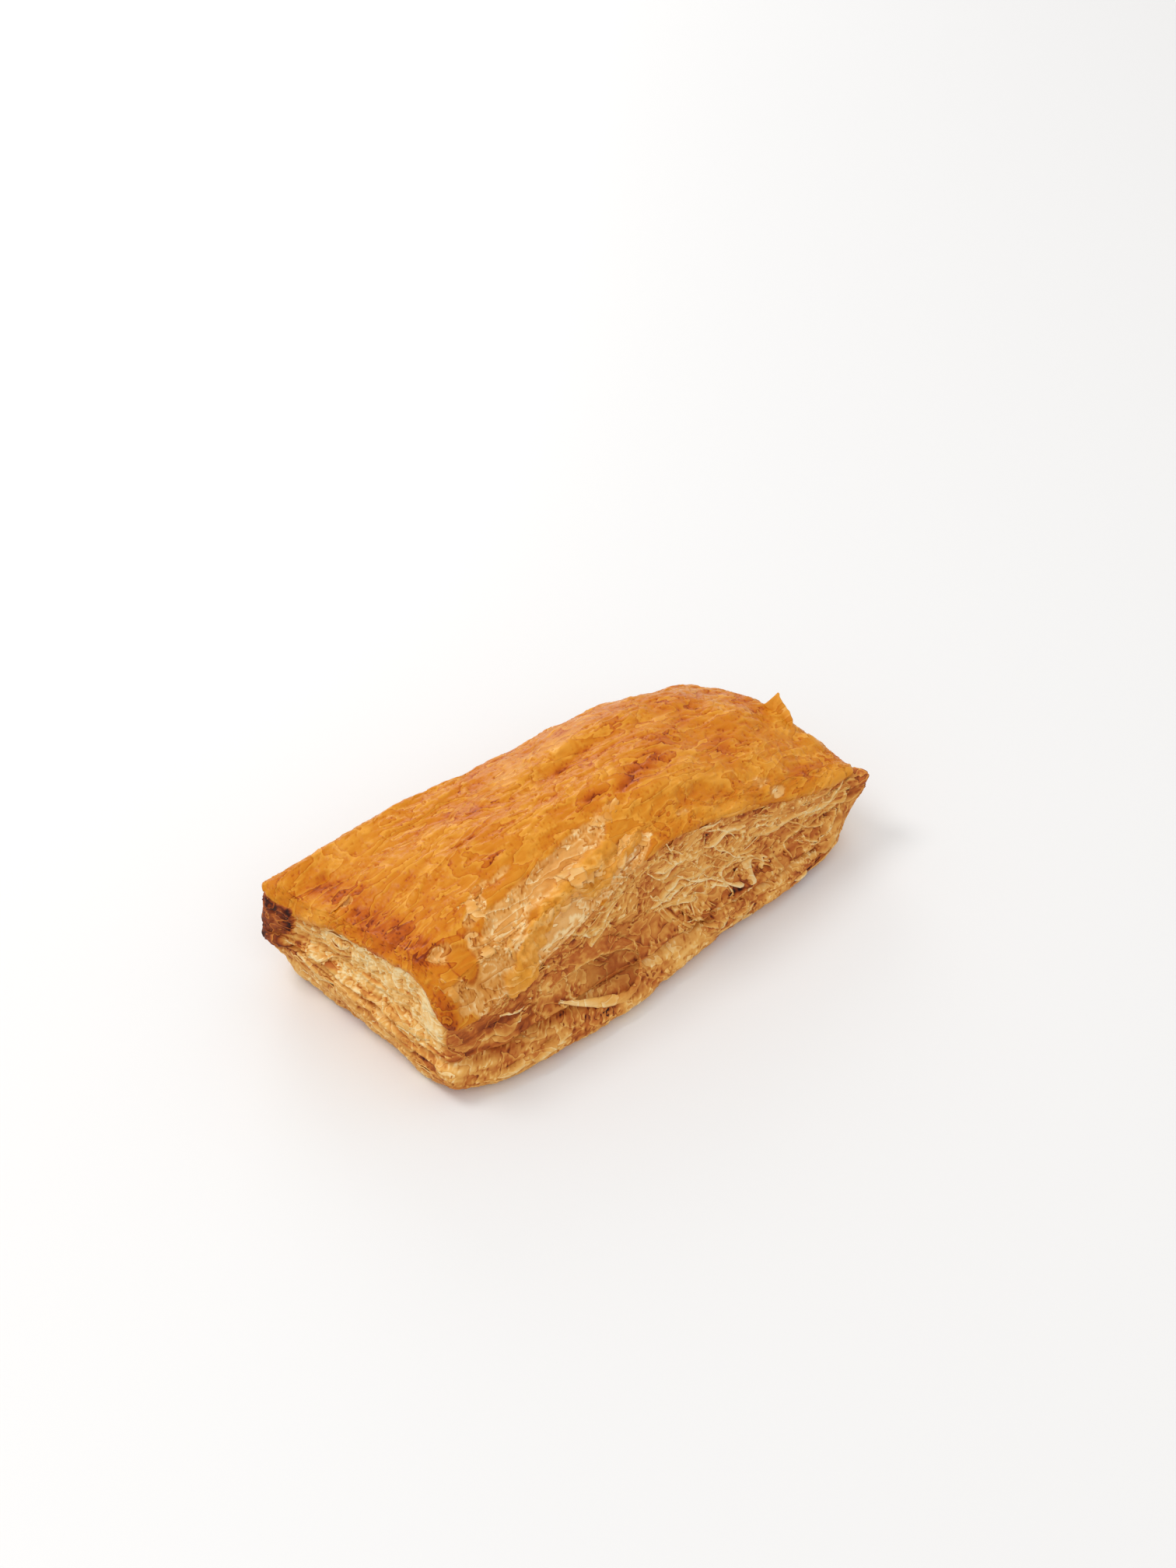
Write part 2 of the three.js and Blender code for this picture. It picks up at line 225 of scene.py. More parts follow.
def rim_facts(place):
    """The heights, insets, poke and corner radii at places on the rim."""
    place = np.mod(place, 4)
    nearest = np.round(place).astype(int) % 4
    apart = np.abs(place - np.round(place)) * np.array(SIDE_LENGTHS)[np.floor(place).astype(int) % 4]
    bulge = bulge_at(place)
    return {
        "seam": seam_at(place), "eave": eave_at(place), "top": top_at(place), "bulge": bulge,
        "belly": belly_at(place) - bulge, "eave_inset": eave_inset_at(place) - bulge,
        "hollow": hollow_at(place) - bulge, "shoulder": shoulder_at(place) - bulge,
        "poke": np.array(CORNER_POKES)[nearest] * np.exp(-(apart / POKE_REACH) ** 4),
        "low": np.array(LOW_RADII)[nearest], "high": np.array(HIGH_RADII)[nearest]}


def between_lines(lines, position):
    """Inset, height and radius on the smooth profile through the lines, at a position counted in lines."""
    table = np.array([[np.broadcast_to(v, position.shape) for v in line] for line in lines])
    k = np.clip(np.floor(position).astype(int), 0, len(lines) - 2)
    t = position - k
    at = np.arange(position.size)
    p0, p1, p2, p3 = (table[np.clip(k + i, 0, len(lines) - 1), :, at].T for i in (-1, 0, 1, 2))
    ease = 0.35
    m1, m2 = (p2 - p0) * ease, (p3 - p1) * ease
    return ((2 * t ** 3 - 3 * t ** 2 + 1) * p1 + (t ** 3 - 2 * t ** 2 + t) * m1
            + (3 * t ** 2 - 2 * t ** 3) * p2 + (t ** 3 - t ** 2) * m2)


def wall_base(place, position):
    """The plain side, in mm. Positions: 0 underside, 2 belly, 3 and 5 lips, 4 seam, 7 hollow, 9 eave."""
    f = rim_facts(place)
    seam, eave, bulge, belly, poke = f["seam"], f["eave"], f["bulge"], f["belly"], f["poke"]
    low, high = f["low"], f["high"]
    lines = [
        [belly + 4.6, 0, low], [belly + 1.5, 1.6, low], [belly, seam * 0.46, low * 0.7 + high * 0.3],
        [(belly - bulge) * 0.35 - bulge * 0.3 - 0.5 - poke, seam - 1.6, (low + high) / 2],
        [1.7 - bulge - poke, seam, high], [-0.15 - bulge - poke * 0.8, seam + 1.6, high],
        [f["hollow"] * 0.7 - bulge * 0.3, seam + 1.6 + (eave - seam) * 0.18, high],
        [f["hollow"], seam + (eave - seam) * 0.84, high], [f["eave_inset"] + 1.1, eave - 0.6, high],
        [f["eave_inset"] + 1.5, eave + 1.4, high]]
    inset, z, radius = between_lines(lines, position)
    x, y = plan_point(np.mod(place, 4), inset, radius)
    return np.stack([x, y, np.maximum(z, 0)], axis=1), f


def outward(base, columns, rows, closed):
    """Unit normals of a grid of points, from the steps along and up it."""
    grid = base.reshape(rows, columns, 3)
    if closed:
        along = np.roll(grid, -1, axis=1) - np.roll(grid, 1, axis=1)
        along[:, 0], along[:, -1] = grid[:, 1] - grid[:, -2], grid[:, 1] - grid[:, -2]
    else:
        along = np.gradient(grid, axis=1)
    normal = np.cross(along, np.gradient(grid, axis=0)).reshape(-1, 3)
    return normal / np.maximum(np.linalg.norm(normal, axis=1, keepdims=True), 1e-9)


def torn_sheets(level, sheets, rim=0.16):
    """Overlapping torn sheets where level rises from 0 to 1: depth in sheets, their rims, the cracks."""
    steps = np.clip(level, 0, 0.9999) * sheets
    part = steps - np.floor(steps)
    inside = (level > 0) & (level < 1)
    depth = np.floor(steps) + smooth(0, 0.1, part)
    rims = np.where(inside, smooth(1 - rim, 1, part), 0)
    return depth, rims, np.where(inside, 1 - smooth(0, rim * 1.3, part), 0)


side_positions = np.concatenate([k + np.arange(n) / n for k, n in enumerate(SIDE_ROWS)] + [[9.0]])
side_places = np.concatenate([k + np.arange(n) / n for k, n in enumerate(SIDE_COLUMNS)] + [[4.0]])
ROWS, COLUMNS = len(side_positions), len(side_places)
place = np.tile(side_places, ROWS)
position = np.repeat(side_positions, COLUMNS)
side_points, facts = wall_base(place, position)
side_normals = outward(side_points, COLUMNS, ROWS, True)
x, y, z = side_points.T
above = z - facts["seam"]
share_up = np.clip(above / (facts["eave"] - facts["seam"]), 0, 1)
is_up = smooth(3.9, 4.1, position)
up_fade = is_up * (1 - smooth(8.2, 8.8, position))
down_fade = (1 - is_up) * smooth(0.3, 1.2, position)
front = np.where(place < 2, smooth(-0.03, 0.05, place) * (1 - smooth(0.97, 1.06, place)),
                 smooth(3.97, 4.03, place))
end_face = smooth(2.95, 3.05, place) * (1 - smooth(3.95, 4.0, place))

# From here on, a relief is in mm outwards, and a tone runs from 0, dark brown, to 1, cream.
# Torn sheets that overlap: their edges run mostly along the layers, split and join, and curl outwards.
torn = np.where(front > 0.5, 0.35 + 0.65 * smooth(-58, -38, x), 0.85)
fine = grain(side_points, 1.3, 41, 2)
crumple = 1 - np.abs(grain(side_points, (5.0, 5.0, 4.4), 31, 2)) * 2
tall = smooth(9, 20, facts["eave"] - facts["seam"])
wall_rise = 0.55 * (share_up - 0.5) * (1 - 0.45 * tall)
wall_level = np.clip(0.5 + wall_rise + 0.42 * grain(side_points, (17, 17, 8), 3, 4), 0.001, 0.999)
layers, lips, cracks = torn_sheets(wall_level, 6, 0.17)
loose_level = smooth(0.0, 0.8, grain(side_points, (14, 14, 10), 13, 4))
loose, loose_lips, loose_cracks = torn_sheets(loose_level, 3, 0.15)
broad = grain(side_points, (14, 14, 7), 23, 2)
sheet_tone = noise(x / 9, layers * 3.7, z / 9, 25) * 0.5 + noise(x / 4, layers * 1.3, z / 3, 26) * 0.3
torn_relief = (0.9 * broad + 0.5 * sheet_tone + 0.3 * lips - 0.32 * cracks
               + 0.22 * loose + 0.2 * loose_lips - 0.2 * loose_cracks)
# The cracks between the torn sheets are drawn darker here: painted shade in the crevices.
torn_tone = 0.46 * lips - 0.24 * cracks + 0.08 * loose + 0.32 * loose_lips - 0.2 * loose_cracks

# The left end, whose thin sheets hang down, and the strands that run along both sides of the seam.
hanging = grain(side_points, (2.2, 2.2, 15), 51, 3)
face_level = smooth(-0.5, 0.6, grain(side_points, (6, 6, 13), 53, 4))
face_depth, face_rims, face_cracks = torn_sheets(face_level, 4)
face_relief = 0.2 * hanging + 0.22 * face_depth - 0.4 + 0.16 * face_rims - 0.14 * face_cracks
# On the left end too, the cracks are drawn darker: painted shade in the crevices.
face_tone = (0.25 + 0.14 * (share_up - 0.4) + 0.24 * hanging + 0.05 * face_depth
             + 0.26 * face_rims - 0.2 * face_cracks)
strands = grain(np.stack([x + y, x * 0, above], axis=1), (16, 9, 1.2), 81, 2) * np.exp(-np.abs(above) / 3.2)
up_relief = torn * torn_relief + 0.16 * crumple * (1 - end_face) + 0.04 * fine + face_relief * end_face
up_tone = 0.28 + 0.2 * sheet_tone + torn * torn_tone + 0.08 * crumple + end_face * face_tone

# The belly under the seam: dry flakes that overlap, torn along their edges.
belly_level = smooth(-0.7, 0.7, grain(side_points, (10, 10, 5), 61, 5))
depth, rims, cracks = torn_sheets(belly_level, 6)
down_relief = 0.2 * depth - 0.5 + 0.16 * rims - 0.16 * cracks + 0.12 * fine
down_relief += 0.5 * grain(side_points, (12, 12, 6), 65, 2)
# The belly's cracks are drawn darker, and so is the front just below the pocket, behind the tongue: painted
# shade. The front of the belly also gets darker towards the right end.
shade_below_pocket = 0.24 * np.exp(-((x + 22) / 10) ** 2 - ((z - 6) / 2.5) ** 2)
down_tone = 0.22 + 0.08 * depth + 0.42 * rims - 0.28 * cracks
down_tone -= (shade_below_pocket + 0.13 * smooth(5, 25, x)) * front

# The lines pressed into the dough beside the seam, at heights in mm from it, each with gaps.
LINE_HEIGHTS, LINE_WIDTH = (-5.2, -3.4, -2.0, 1.9, 3.3, 5.0), 0.38
seam_lines = np.zeros(x.shape)
for at in LINE_HEIGHTS:
    wander = 0.9 * noise(x / 11 + y / 11, at, 0.4, 76)
    seam_lines += np.exp(-((above - at + wander) / LINE_WIDTH) ** 2) * smooth(
        -0.35, 0.1, noise(x / 19 + y / 19, at, 0.9, 77))
wave = 0.8 * noise(x / 7 + y / 7, 0.3, 0.1, 75) * np.exp(-((position - 4) / 1.3) ** 2)

# The pocket torn open below the layers of the front, beside the tongue. It closes the seam's groove.
POCKET_AT, POCKET_SIZE, POCKET_TILT = (-17.5, 10.7), (7.6, 3.0), 0.24
POCKET_DEPTH, GROOVE_DEPTH = 1.9, 1.7
pocket_x = x - POCKET_AT[0]
pocket_z = z - POCKET_AT[1] + POCKET_TILT * pocket_x
pocket = front * np.exp(-((pocket_x / POCKET_SIZE[0]) ** 4 + (pocket_z / POCKET_SIZE[1]) ** 4))

relief = ((wave - 0.45 * seam_lines) * (1 - pocket)
          + up_fade * (up_relief + 0.4 * strands) * (1 - 0.85 * pocket)
          + down_fade * (down_relief + 0.45 * strands) * (1 - 0.8 * pocket)
          + (GROOVE_DEPTH * np.exp(-(above / 1.2) ** 2) - POCKET_DEPTH) * pocket)
tone = (up_tone + 0.2 * strands) * is_up + (down_tone + 0.3 * strands) * (1 - is_up)
# The pressed lines are drawn darker: painted shade in their grooves.
tone -= (0.2 + 0.1 * end_face) * np.clip(seam_lines, 0, 1)
seam_shade = 0.15 * np.exp(-((position - 4) / 0.45) ** 2) * (1 - 0.8 * front * smooth(-8, 4, x))
tone -= seam_shade * (1 - pocket)
# Inside the pocket the tone darkens towards its deep right end: painted shade in the recess.
pocket_tone = 0.34 - 0.14 * smooth(-4, 5, pocket_x) + 0.1 * grain(side_points, (7, 7, 1.5), 87, 3)
tone = tone * (1 - pocket) + pocket_tone * pocket

# Browner places: the pinched near corner, the tip at the right end, and the patch near the back left
# corner that burnt.
corner_x, corner_z = np.maximum(np.abs(x + 53) - 9, 0) / 6, (z - 16.4 + 0.14 * (x + 62)) / 3.0
near_corner = np.exp(-corner_x ** 2 - corner_z ** 2) * np.maximum(front, place > 3.985) * is_up
tone = tone * (1 - 0.9 * near_corner)
tone += (0.03 + 0.1 * grain(side_points, (9, 9, 1.6), 85, 2)) * near_corner
frayed = 0.036 * grain(side_points, (5, 5, 5), 88, 4)
burnt = (smooth(2.955, 2.985, place + frayed) * (1 - smooth(3.115, 3.14, place + frayed))
         * smooth(12, 13, z + 36 * frayed) * (1 - smooth(26.2, 27.4, z + 40 * frayed)) * is_up)
charred = smooth(3.085, 3.125, place) + 1 - smooth(12.5, 15.5, z) + 0.5 * smooth(23, 25.5, z)
tone = tone * (1 - burnt) + burnt * (-0.02 + 0.12 * fine + 0.1 * crumple - 0.2 * np.clip(charred, 0, 1))
tip = np.exp(-((place - 1) / 0.042) ** 2) * np.exp(-((position - 4.3) / 1.2) ** 2)
tone = tone * (1 - tip) + 0.03 * tip

BURNT_RISE = 1.5
side_final = side_points + side_normals * relief[:, None]
side_final[:, 2] = np.maximum(side_final[:, 2], 0.0)
side_final += side_normals * (BURNT_RISE * burnt)[:, None]


def grid_bmesh(columns, rows, points, values):
    """A grid whose points, row by row, are moved to the given places in mm, each with its values."""
    bm = bmesh.new()
    bmesh.ops.create_grid(bm, x_segments=columns - 1, y_segments=rows - 1, size=1)
    value_layers = [(bm.verts.layers.float.new(key), data) for key, data in values.items()]
    for v in bm.verts:
        k = round((v.co.y + 1) / 2 * (rows - 1)) * columns + round((v.co.x + 1) / 2 * (columns - 1))
        v.co = points[k] * MM
        for value_layer, data in value_layers:
            v[value_layer] = data[k]
    return bm


def close_inside(bm, height, shrink):
    """Closes a shell: its open upper loop is drawn inwards to a flat lid that lies hidden inside, in
    metres, and any loop on the table gets a flat underside."""
    loop = [e for e in bm.edges if e.is_boundary and min(v.co.z for v in e.verts) > 4 * MM]
    grown = bmesh.ops.extrude_edge_only(bm, edges=loop)["geom"]
    for v in [g for g in grown if isinstance(g, bmesh.types.BMVert)]:
        v.co = Vector((v.co.x * shrink, v.co.y * shrink, height))
    bmesh.ops.holes_fill(bm, edges=[e for e in bm.edges if e.is_boundary])


def object_of(bm, name, material):
    """The object of a finished mesh, smooth, with its faces pointing outwards."""
    bmesh.ops.recalc_face_normals(bm, faces=bm.faces)
    for face in bm.faces:
        face.smooth = True
    mesh = bpy.data.meshes.new(name)
    bm.to_mesh(mesh)
    bm.free()
    mesh.materials.append(material)
    piece = bpy.data.objects.new(name, mesh)
    bpy.context.collection.objects.link(piece)
    return piece


def add_node(material, kind, settings=(), **links):
    """Adds a node. A setting goes by the name of a property, or the name or number of an input, and
    stops fill a colour ramp. A link goes by its input's name, or _ and its number, from a socket or from
    a node's first output."""
    node = material.node_tree.nodes.new("ShaderNode" + kind)
    for name, value in dict(settings).items():
        if name == "stops":
            ramp = node.color_ramp.elements
            for at, _ in value[1:-1]:
                ramp.new(at)
            for stop, (at, colour) in zip(ramp, value):
                stop.position, stop.color = at, colour
        elif isinstance(name, str) and hasattr(node, name):
            setattr(node, name, value)
        else:
            node.inputs[name].default_value = value
    for name, source in links.items():
        into = node.inputs[int(name[1:])] if name[0] == "_" else node.inputs[name.replace("_", " ")]
        material.node_tree.links.new(source.outputs[0] if hasattr(source, "outputs") else source, into)
    return node


# Dry puff pastry: many thin baked sheets. To the eye, matt and scaly, cream on the lips and thin skins,
# darker in the cracks with painted shade, with streaks along each sheet. Real streaks are hair-thin: these
# are drawn coarser.
STREAK_SIZE, BLOTCH_SIZE, SCALE_SIZE = 2.381, 7.692, 8.696  # mm
SCALES_DEEP = 7  # how many scales lie over each other from the noise's lowest place to its highest
# The darkest stop draws each crack in painted shade.
EDGE_STOPS = [(at, (grey, grey, grey, 1)) for at, grey in (
    (0.0, 0.0), (0.12, 0.4), (0.64, 0.5), (0.93, 1.0))]  # a crack, the sheet, its pale lip
SIDE_TONES = [(at, linear(colour)) for at, colour in (
    (0.0, "1C0D0A"), (0.1, "43190F"), (0.2, "803510"), (0.36, "B66022"), (0.53, "D38D3E"),
    (0.7, "E6AC58"), (0.88, "F0C682"), (1.0, "F6DAA2"))]
dry_pastry, shader = new_material("dry flaky pastry")
shader.inputs["Specular IOR Level"].default_value = 0.2
here = add_node(dry_pastry, "TexCoord").outputs["Object"]
tone_sum = add_node(dry_pastry, "Attribute", {"attribute_name": "tone"}).outputs["Fac"]
along_sheets = add_node(dry_pastry, "Mapping", {"Scale": (1, 1, 3.2)}, Vector=here)
streaks = add_node(dry_pastry, "TexNoise", {
    "Scale": 1 / (STREAK_SIZE * MM), "Detail": 5, "Roughness": 0.62}, Vector=along_sheets)
blotches = add_node(dry_pastry, "TexNoise", {
    "Scale": 1 / (BLOTCH_SIZE * MM), "Detail": 4, "Roughness": 0.6}, Vector=here)
flattened = add_node(dry_pastry, "Mapping", {"Scale": (1, 1, 1.9)}, Vector=here)
scale_field = add_node(dry_pastry, "TexNoise", {
    "Scale": 1 / (SCALE_SIZE * MM), "Detail": 3, "Roughness": 0.5, "Distortion": 0.3}, Vector=flattened)
scale_steps = add_node(dry_pastry, "Math", {"operation": "MULTIPLY", 1: SCALES_DEEP}, _0=scale_field)
scale_part = add_node(dry_pastry, "Math", {"operation": "FRACT"}, _0=scale_steps)
scale_edges = add_node(dry_pastry, "ValToRGB", {"stops": EDGE_STOPS}, Fac=scale_part)
for pattern, amount, offset in ((streaks, 0.2, -0.09), (blotches, 0.3, -0.15), (scale_edges, 0.4, -0.2)):
    part = add_node(dry_pastry, "Math", {"operation": "MULTIPLY_ADD", 1: amount, 2: offset}, _0=pattern)
    tone_sum = add_node(dry_pastry, "Math", {"operation": "ADD"}, _0=tone_sum, _1=part)
tone_span = add_node(dry_pastry, "MapRange", {"From Min": -0.25}, Value=tone_sum)
colours = add_node(dry_pastry, "ValToRGB", {"stops": SIDE_TONES}, Fac=tone_span)
roughness = add_node(dry_pastry, "MapRange", {"To Min": 0.5, "To Max": 0.78}, Value=blotches)
height = add_node(
    dry_pastry, "Math", {"operation": "MULTIPLY_ADD", 1: 0.7}, _0=scale_edges, _2=streaks)
bump = add_node(dry_pastry, "Bump", {"Strength": 0.5, "Distance": 0.4 * MM}, Height=height)
for name, node in (("Base Color", colours), ("Roughness", roughness), ("Normal", bump)):
    dry_pastry.node_tree.links.new(node.outputs[0], shader.inputs[name])

side_bm = grid_bmesh(COLUMNS, ROWS, side_final, {"tone": tone})
bmesh.ops.remove_doubles(side_bm, verts=side_bm.verts, dist=MM / 1000)
close_inside(side_bm, 15 * MM, 0.9)
flaky_sides = object_of(side_bm, "flaky_sides", dry_pastry)
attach(flaky_sides, "root")
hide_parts("vegetable_puff")

# ---- Glazed top crust --------------------------------------------------------------------------------
# The top sheet of dough, brushed with egg before baking: glossy, golden orange, browner on its ridges,
# finely wrinkled along its length, and peeled in ragged islands near the torn front edge.
TOP_COLUMNS, TOP_ROWS, SHOULDER_ROWS = 400, 176, 34
DOME_RISE = 2.4
SWELLS = [  # x, y, reach along X, reach along Y, rise
    [-38, 0, 20, 10, 1.2], [-6, -6, 20, 9, 1], [22, 14, 15, 7, 1.6], [50, 14, 12, 8, 1.8],
    [-55, -14, 10, 9, 0.8], [6, 7, 26, 3.2, -1.8], [-24, 15, 16, 4, -1], [40, -4, 8, 9, -1.2],
    [57, -3, 8, 6, 1], [-18, -16, 14, 5, -0.8], [14, 17, 30, 9, 0.9], [50, 17, 13, 8, 0.5]]


def sheet_point(place, position):
    """The edge and shoulder of the top sheet. Positions: 0 and 1 tucked under, 2 edge, 5 top."""
    f = rim_facts(place)
    eave, top, tuck, shoulder, high = f["eave"], f["top"], f["eave_inset"], f["shoulder"], f["high"]
    lines = [
        [tuck + 3.5, eave - 0.4, high], [tuck + 0.8, eave - 1.0, high], [tuck - 0.15, eave - 0.5, high],
        [tuck - 0.2, eave + 0.6, high], [(tuck + shoulder) / 2, eave + (top - eave) * 0.68, high],
        [shoulder, top, high]]
    inset, z, radius = between_lines(lines, position)
    x, y = plan_point(np.mod(place, 4), inset, radius)
    return np.stack([x, y, z], axis=1)


def top_patch(a, b):
    """The domed middle of the top between its four rims: a and b run from -1 to 1 along X and Y."""
    u, v = (a + 1) / 2, (b + 1) / 2
    five = np.full(a.shape, 5.0)
    edge = [sheet_point(p, five) for p in (u, 3 - u, 4 - v, 1 + v)]
    ends = [sheet_point(np.full(a.shape, float(p)), five) for p in (0, 1, 3, 2)]
    u, v = u[:, None], v[:, None]
    p = edge[0] * (1 - v) + edge[1] * v + edge[2] * (1 - u) + edge[3] * u
    for end, weight in zip(ends, ((1 - u) * (1 - v), u * (1 - v), (1 - u) * v, u * v)):
        p = p - end * weight
    x, y = p[:, 0] + CENTRE[0], p[:, 1] + CENTRE[1]
    inside = np.clip((1 - a ** 4) * (1 - b ** 4) * 1.6, 0, 1)
    swell = sum(h * np.exp(-((x - sx) / rx) ** 2 - ((y - sy) / ry) ** 2) for sx, sy, rx, ry, h in SWELLS)
    rise = DOME_RISE * np.sqrt(np.clip(1 - a * a, 0, 1)) * np.sqrt(np.clip(1 - b * b, 0, 1)) + swell
    p[:, 2] += inside * rise
    return p


# Each ring of the grid, counted from its border inwards, follows the rim; those within are the dome.
column = np.tile(np.arange(TOP_COLUMNS + 1), TOP_ROWS + 1)
row = np.repeat(np.arange(TOP_ROWS + 1), TOP_COLUMNS + 1)
ring = np.minimum(np.minimum(column, TOP_COLUMNS - column), np.minimum(row, TOP_ROWS - row))
wide, deep = TOP_COLUMNS - 2 * ring, np.maximum(TOP_ROWS - 2 * ring, 1)
top_place = np.select(
    [row == ring, column == TOP_COLUMNS - ring, row == TOP_ROWS - ring],
    [(column - ring) / wide, 1 + (row - ring) / deep, 2 + (TOP_COLUMNS - ring - column) / wide],
    3 + (TOP_ROWS - ring - row) / deep)
ring_positions = np.interp(np.arange(SHOULDER_ROWS + 1), [0, 2, 4, 8, 20, SHOULDER_ROWS], [0, 1, 2, 3, 4, 5])
top_points = np.zeros((column.size, 3))
at_edge = ring < SHOULDER_ROWS
middle = ~at_edge
top_points[at_edge] = sheet_point(top_place[at_edge], ring_positions[ring[at_edge]])
top_points[middle] = top_patch(
    2 * (column[middle] - SHOULDER_ROWS) / (TOP_COLUMNS - 2 * SHOULDER_ROWS) - 1,
    2 * (row[middle] - SHOULDER_ROWS) / (TOP_ROWS - 2 * SHOULDER_ROWS) - 1)
top_normals = outward(top_points, TOP_COLUMNS + 1, TOP_ROWS + 1, False)
x, y, z = top_points.T
edge_share = np.where(at_edge, ring_positions[np.minimum(ring, SHOULDER_ROWS)] / 5, 1.0)

# Soft patches, in mm: [x, y, reach along, reach across, turn in degrees, amount].
PEELED = [
    [-20, -15.8, 19, 3.6, 10, 1.25], [-40, -19.5, 9, 4.0, 14, 1.2], [-7, -22.6, 14, 3.4, 6, 1.1],
    [-28, -25.2, 16, 3.6, 4, 1.15], [-50, -25.5, 9, 4.2, -8, 0.95], [-46, -14, 7, 2.4, 30, 0.75],
    [16, -21, 12, 2.4, 4, 0.45], [44, -21, 13, 4, -6, 0.32], [-63.5, 13.5, 2.6, 2, 0, 0.8],
    [-58.8, -17.7, 3, 2.4, 0, 1.0], [-56, -26, 7, 3.5, 0, 0.8], [-50, -20, 3, 4, 0, 0.8],
    [61, -20, 6, 4, 0, 0.3], [-42, -10, 6, 1.6, 20, 0.7], [-32, -9, 7, 1.4, 8, 0.6],
    [30, -15, 9, 1.8, 12, 0.3], [58.4, -21.4, 8, 2.2, 62, 0.42], [45, -24.6, 7, 2.0, -4, 0.4]]
BROWNED = [
    [-64.5, -27, 2.6, 4, 0, 0.9], [-62, 17, 5.5, 10, 8, 0.7], [-62.5, -1, 5.5, 13, 4, 0.95],
    [-62, -13, 4.5, 6, 0, 1.0], [-1, -5.5, 10, 3.5, 6, 0.65], [14, -6, 13, 4.5, 10, 0.75],
    [-16, 11, 16, 2.5, -6, 0.6], [5, 9.6, 20, 2.0, 3, 0.6], [-36, 3, 14, 3, 14, 0.45],
    [-33, -5, 9, 2.5, 10, 0.45], [30, 2, 14, 4, 12, 0.45], [45, 12, 12, 4, 0, 0.4],
    [62, 5, 6, 10, 0, 0.4], [62, -22, 8, 3, 0, 0.4], [42, -8, 8, 4, 8, 0.5],
    [20, 22, 30, 4, 0, 0.35], [-30, 26, 22, 4, 0, 0.3]]
BARE_SPOT_AT, BARE_SPOT_RADII = (-55.5, -21.9), (3.7, 4.3)


def patches(entries, x, y):
    """The strongest of the soft patches at each point."""
    total = np.zeros(x.shape)
    for at_x, at_y, along, across, turn, amount in entries:
        c, s = np.cos(np.radians(turn)), np.sin(np.radians(turn))
        u, v = (x - at_x) * c + (y - at_y) * s, -(x - at_x) * s + (y - at_y) * c
        total = np.maximum(total, amount * np.exp(-((u / along) ** 2) - (v / across) ** 2))
    return total


def from_bare_spot(x, y, radii):
    """How far points lie from the middle of the bare spot, counted in the radii."""
    return np.hypot((x - BARE_SPOT_AT[0]) / radii[0], (y - BARE_SPOT_AT[1]) / radii[1])


peel_level = patches(PEELED, x, y) + 0.4 * grain(top_points, (10, 7, 7), 101, 4) - 0.05
torn_level = smooth(0.34, 0.95, peel_level)
depth, rims, cracks = torn_sheets(torn_level, 5, 0.2)
peeled = smooth(0.34, 0.42, peel_level)
peel_patches = 0.6 * noise(x / 9, depth * 3.1, y / 6, 105) + 0.4 * grain(top_points, (4, 3, 3), 106, 3)
scatter_level = smooth(0.25, 0.75, grain(top_points, (8, 5.5, 6), 111, 4) + 0.25 * patches(PEELED, x, y))
scatter_depth, scatter_rims, scatter_cracks = torn_sheets(scatter_level, 3)
wrinkles = 1 - 2 * np.abs(grain(top_points, (9, 2.6, 3.4), 121, 3))
creases = 1 - smooth(0.0, 0.05, np.abs(grain(top_points, (19, 6, 8), 125, 3)))
creases *= smooth(-0.1, 0.3, grain(top_points, 13, 127, 2))
small_fray = 0.9 * noise(x / 1.9, y / 1.5, z / 3, 128)
large_fray = 1.6 * noise(x / 5, y / 4, z / 5, 129)
frayed_points = top_points + small_fray[:, None] + large_fray[:, None]
film_level = smooth(-0.8, 0.8, grain(frayed_points, (17, 7, 9), 126, 2))
film, film_rims, film_cracks = torn_sheets(film_level, 6, 0.11)
ripples = grain(top_points, (11, 5, 6), 131, 3)
blisters = grain(top_points, (1.7, 1.2, 1.4), 141, 2)
bare_spot = 1 - smooth(0.8, 1.05, from_bare_spot(x, y, BARE_SPOT_RADII) + 0.06 * noise(x, y, 0, 151))

# The ragged yellow ridge where the top sheet has torn and rolled back: its paths and their half widths.
RIDGES = [
    ([(-46, -28.5), (-41, -27.3), (-37.5, -25.6), (-34, -24), (-29.5, -22), (-23, -20.8),
      (-16.5, -19.6), (-11.4, -18.7), (-7, -19.5)], 2.5),
    ([(-18, -23.2), (-11.8, -23), (-6.8, -21.4), (-1.5, -21.2), (1.2, -20.5)], 1.8)]


def path_distance(path, x, y):
    """Distance in mm from the nearest point of the path."""
    nearest = np.full(x.shape, 1e9)
    for (x0, y0), (x1, y1) in zip(path, path[1:]):
        length = np.hypot(x1 - x0, y1 - y0)
        t = np.clip(((x - x0) * (x1 - x0) + (y - y0) * (y1 - y0)) / length ** 2, 0, 1)
        nearest = np.minimum(nearest, np.hypot(x - x0 - t * (x1 - x0), y - y0 - t * (y1 - y0)))
    return nearest


ridge, roll = np.zeros(x.shape), np.zeros(x.shape)
raggedness = 0.85 + 0.55 * grain(top_points, 3.4, 161, 4)
ridge_grain = grain(top_points, (3.4, 2.6, 3), 163, 4)
for path, width in RIDGES:
    away = path_distance(path, x, y) / np.maximum(width * raggedness, 0.2)
    ridge = np.maximum(ridge, 1 - smooth(0.85, 1.0, away))
    roll = np.maximum(roll, np.sqrt(np.clip(1 - away ** 2, 0, 1)))

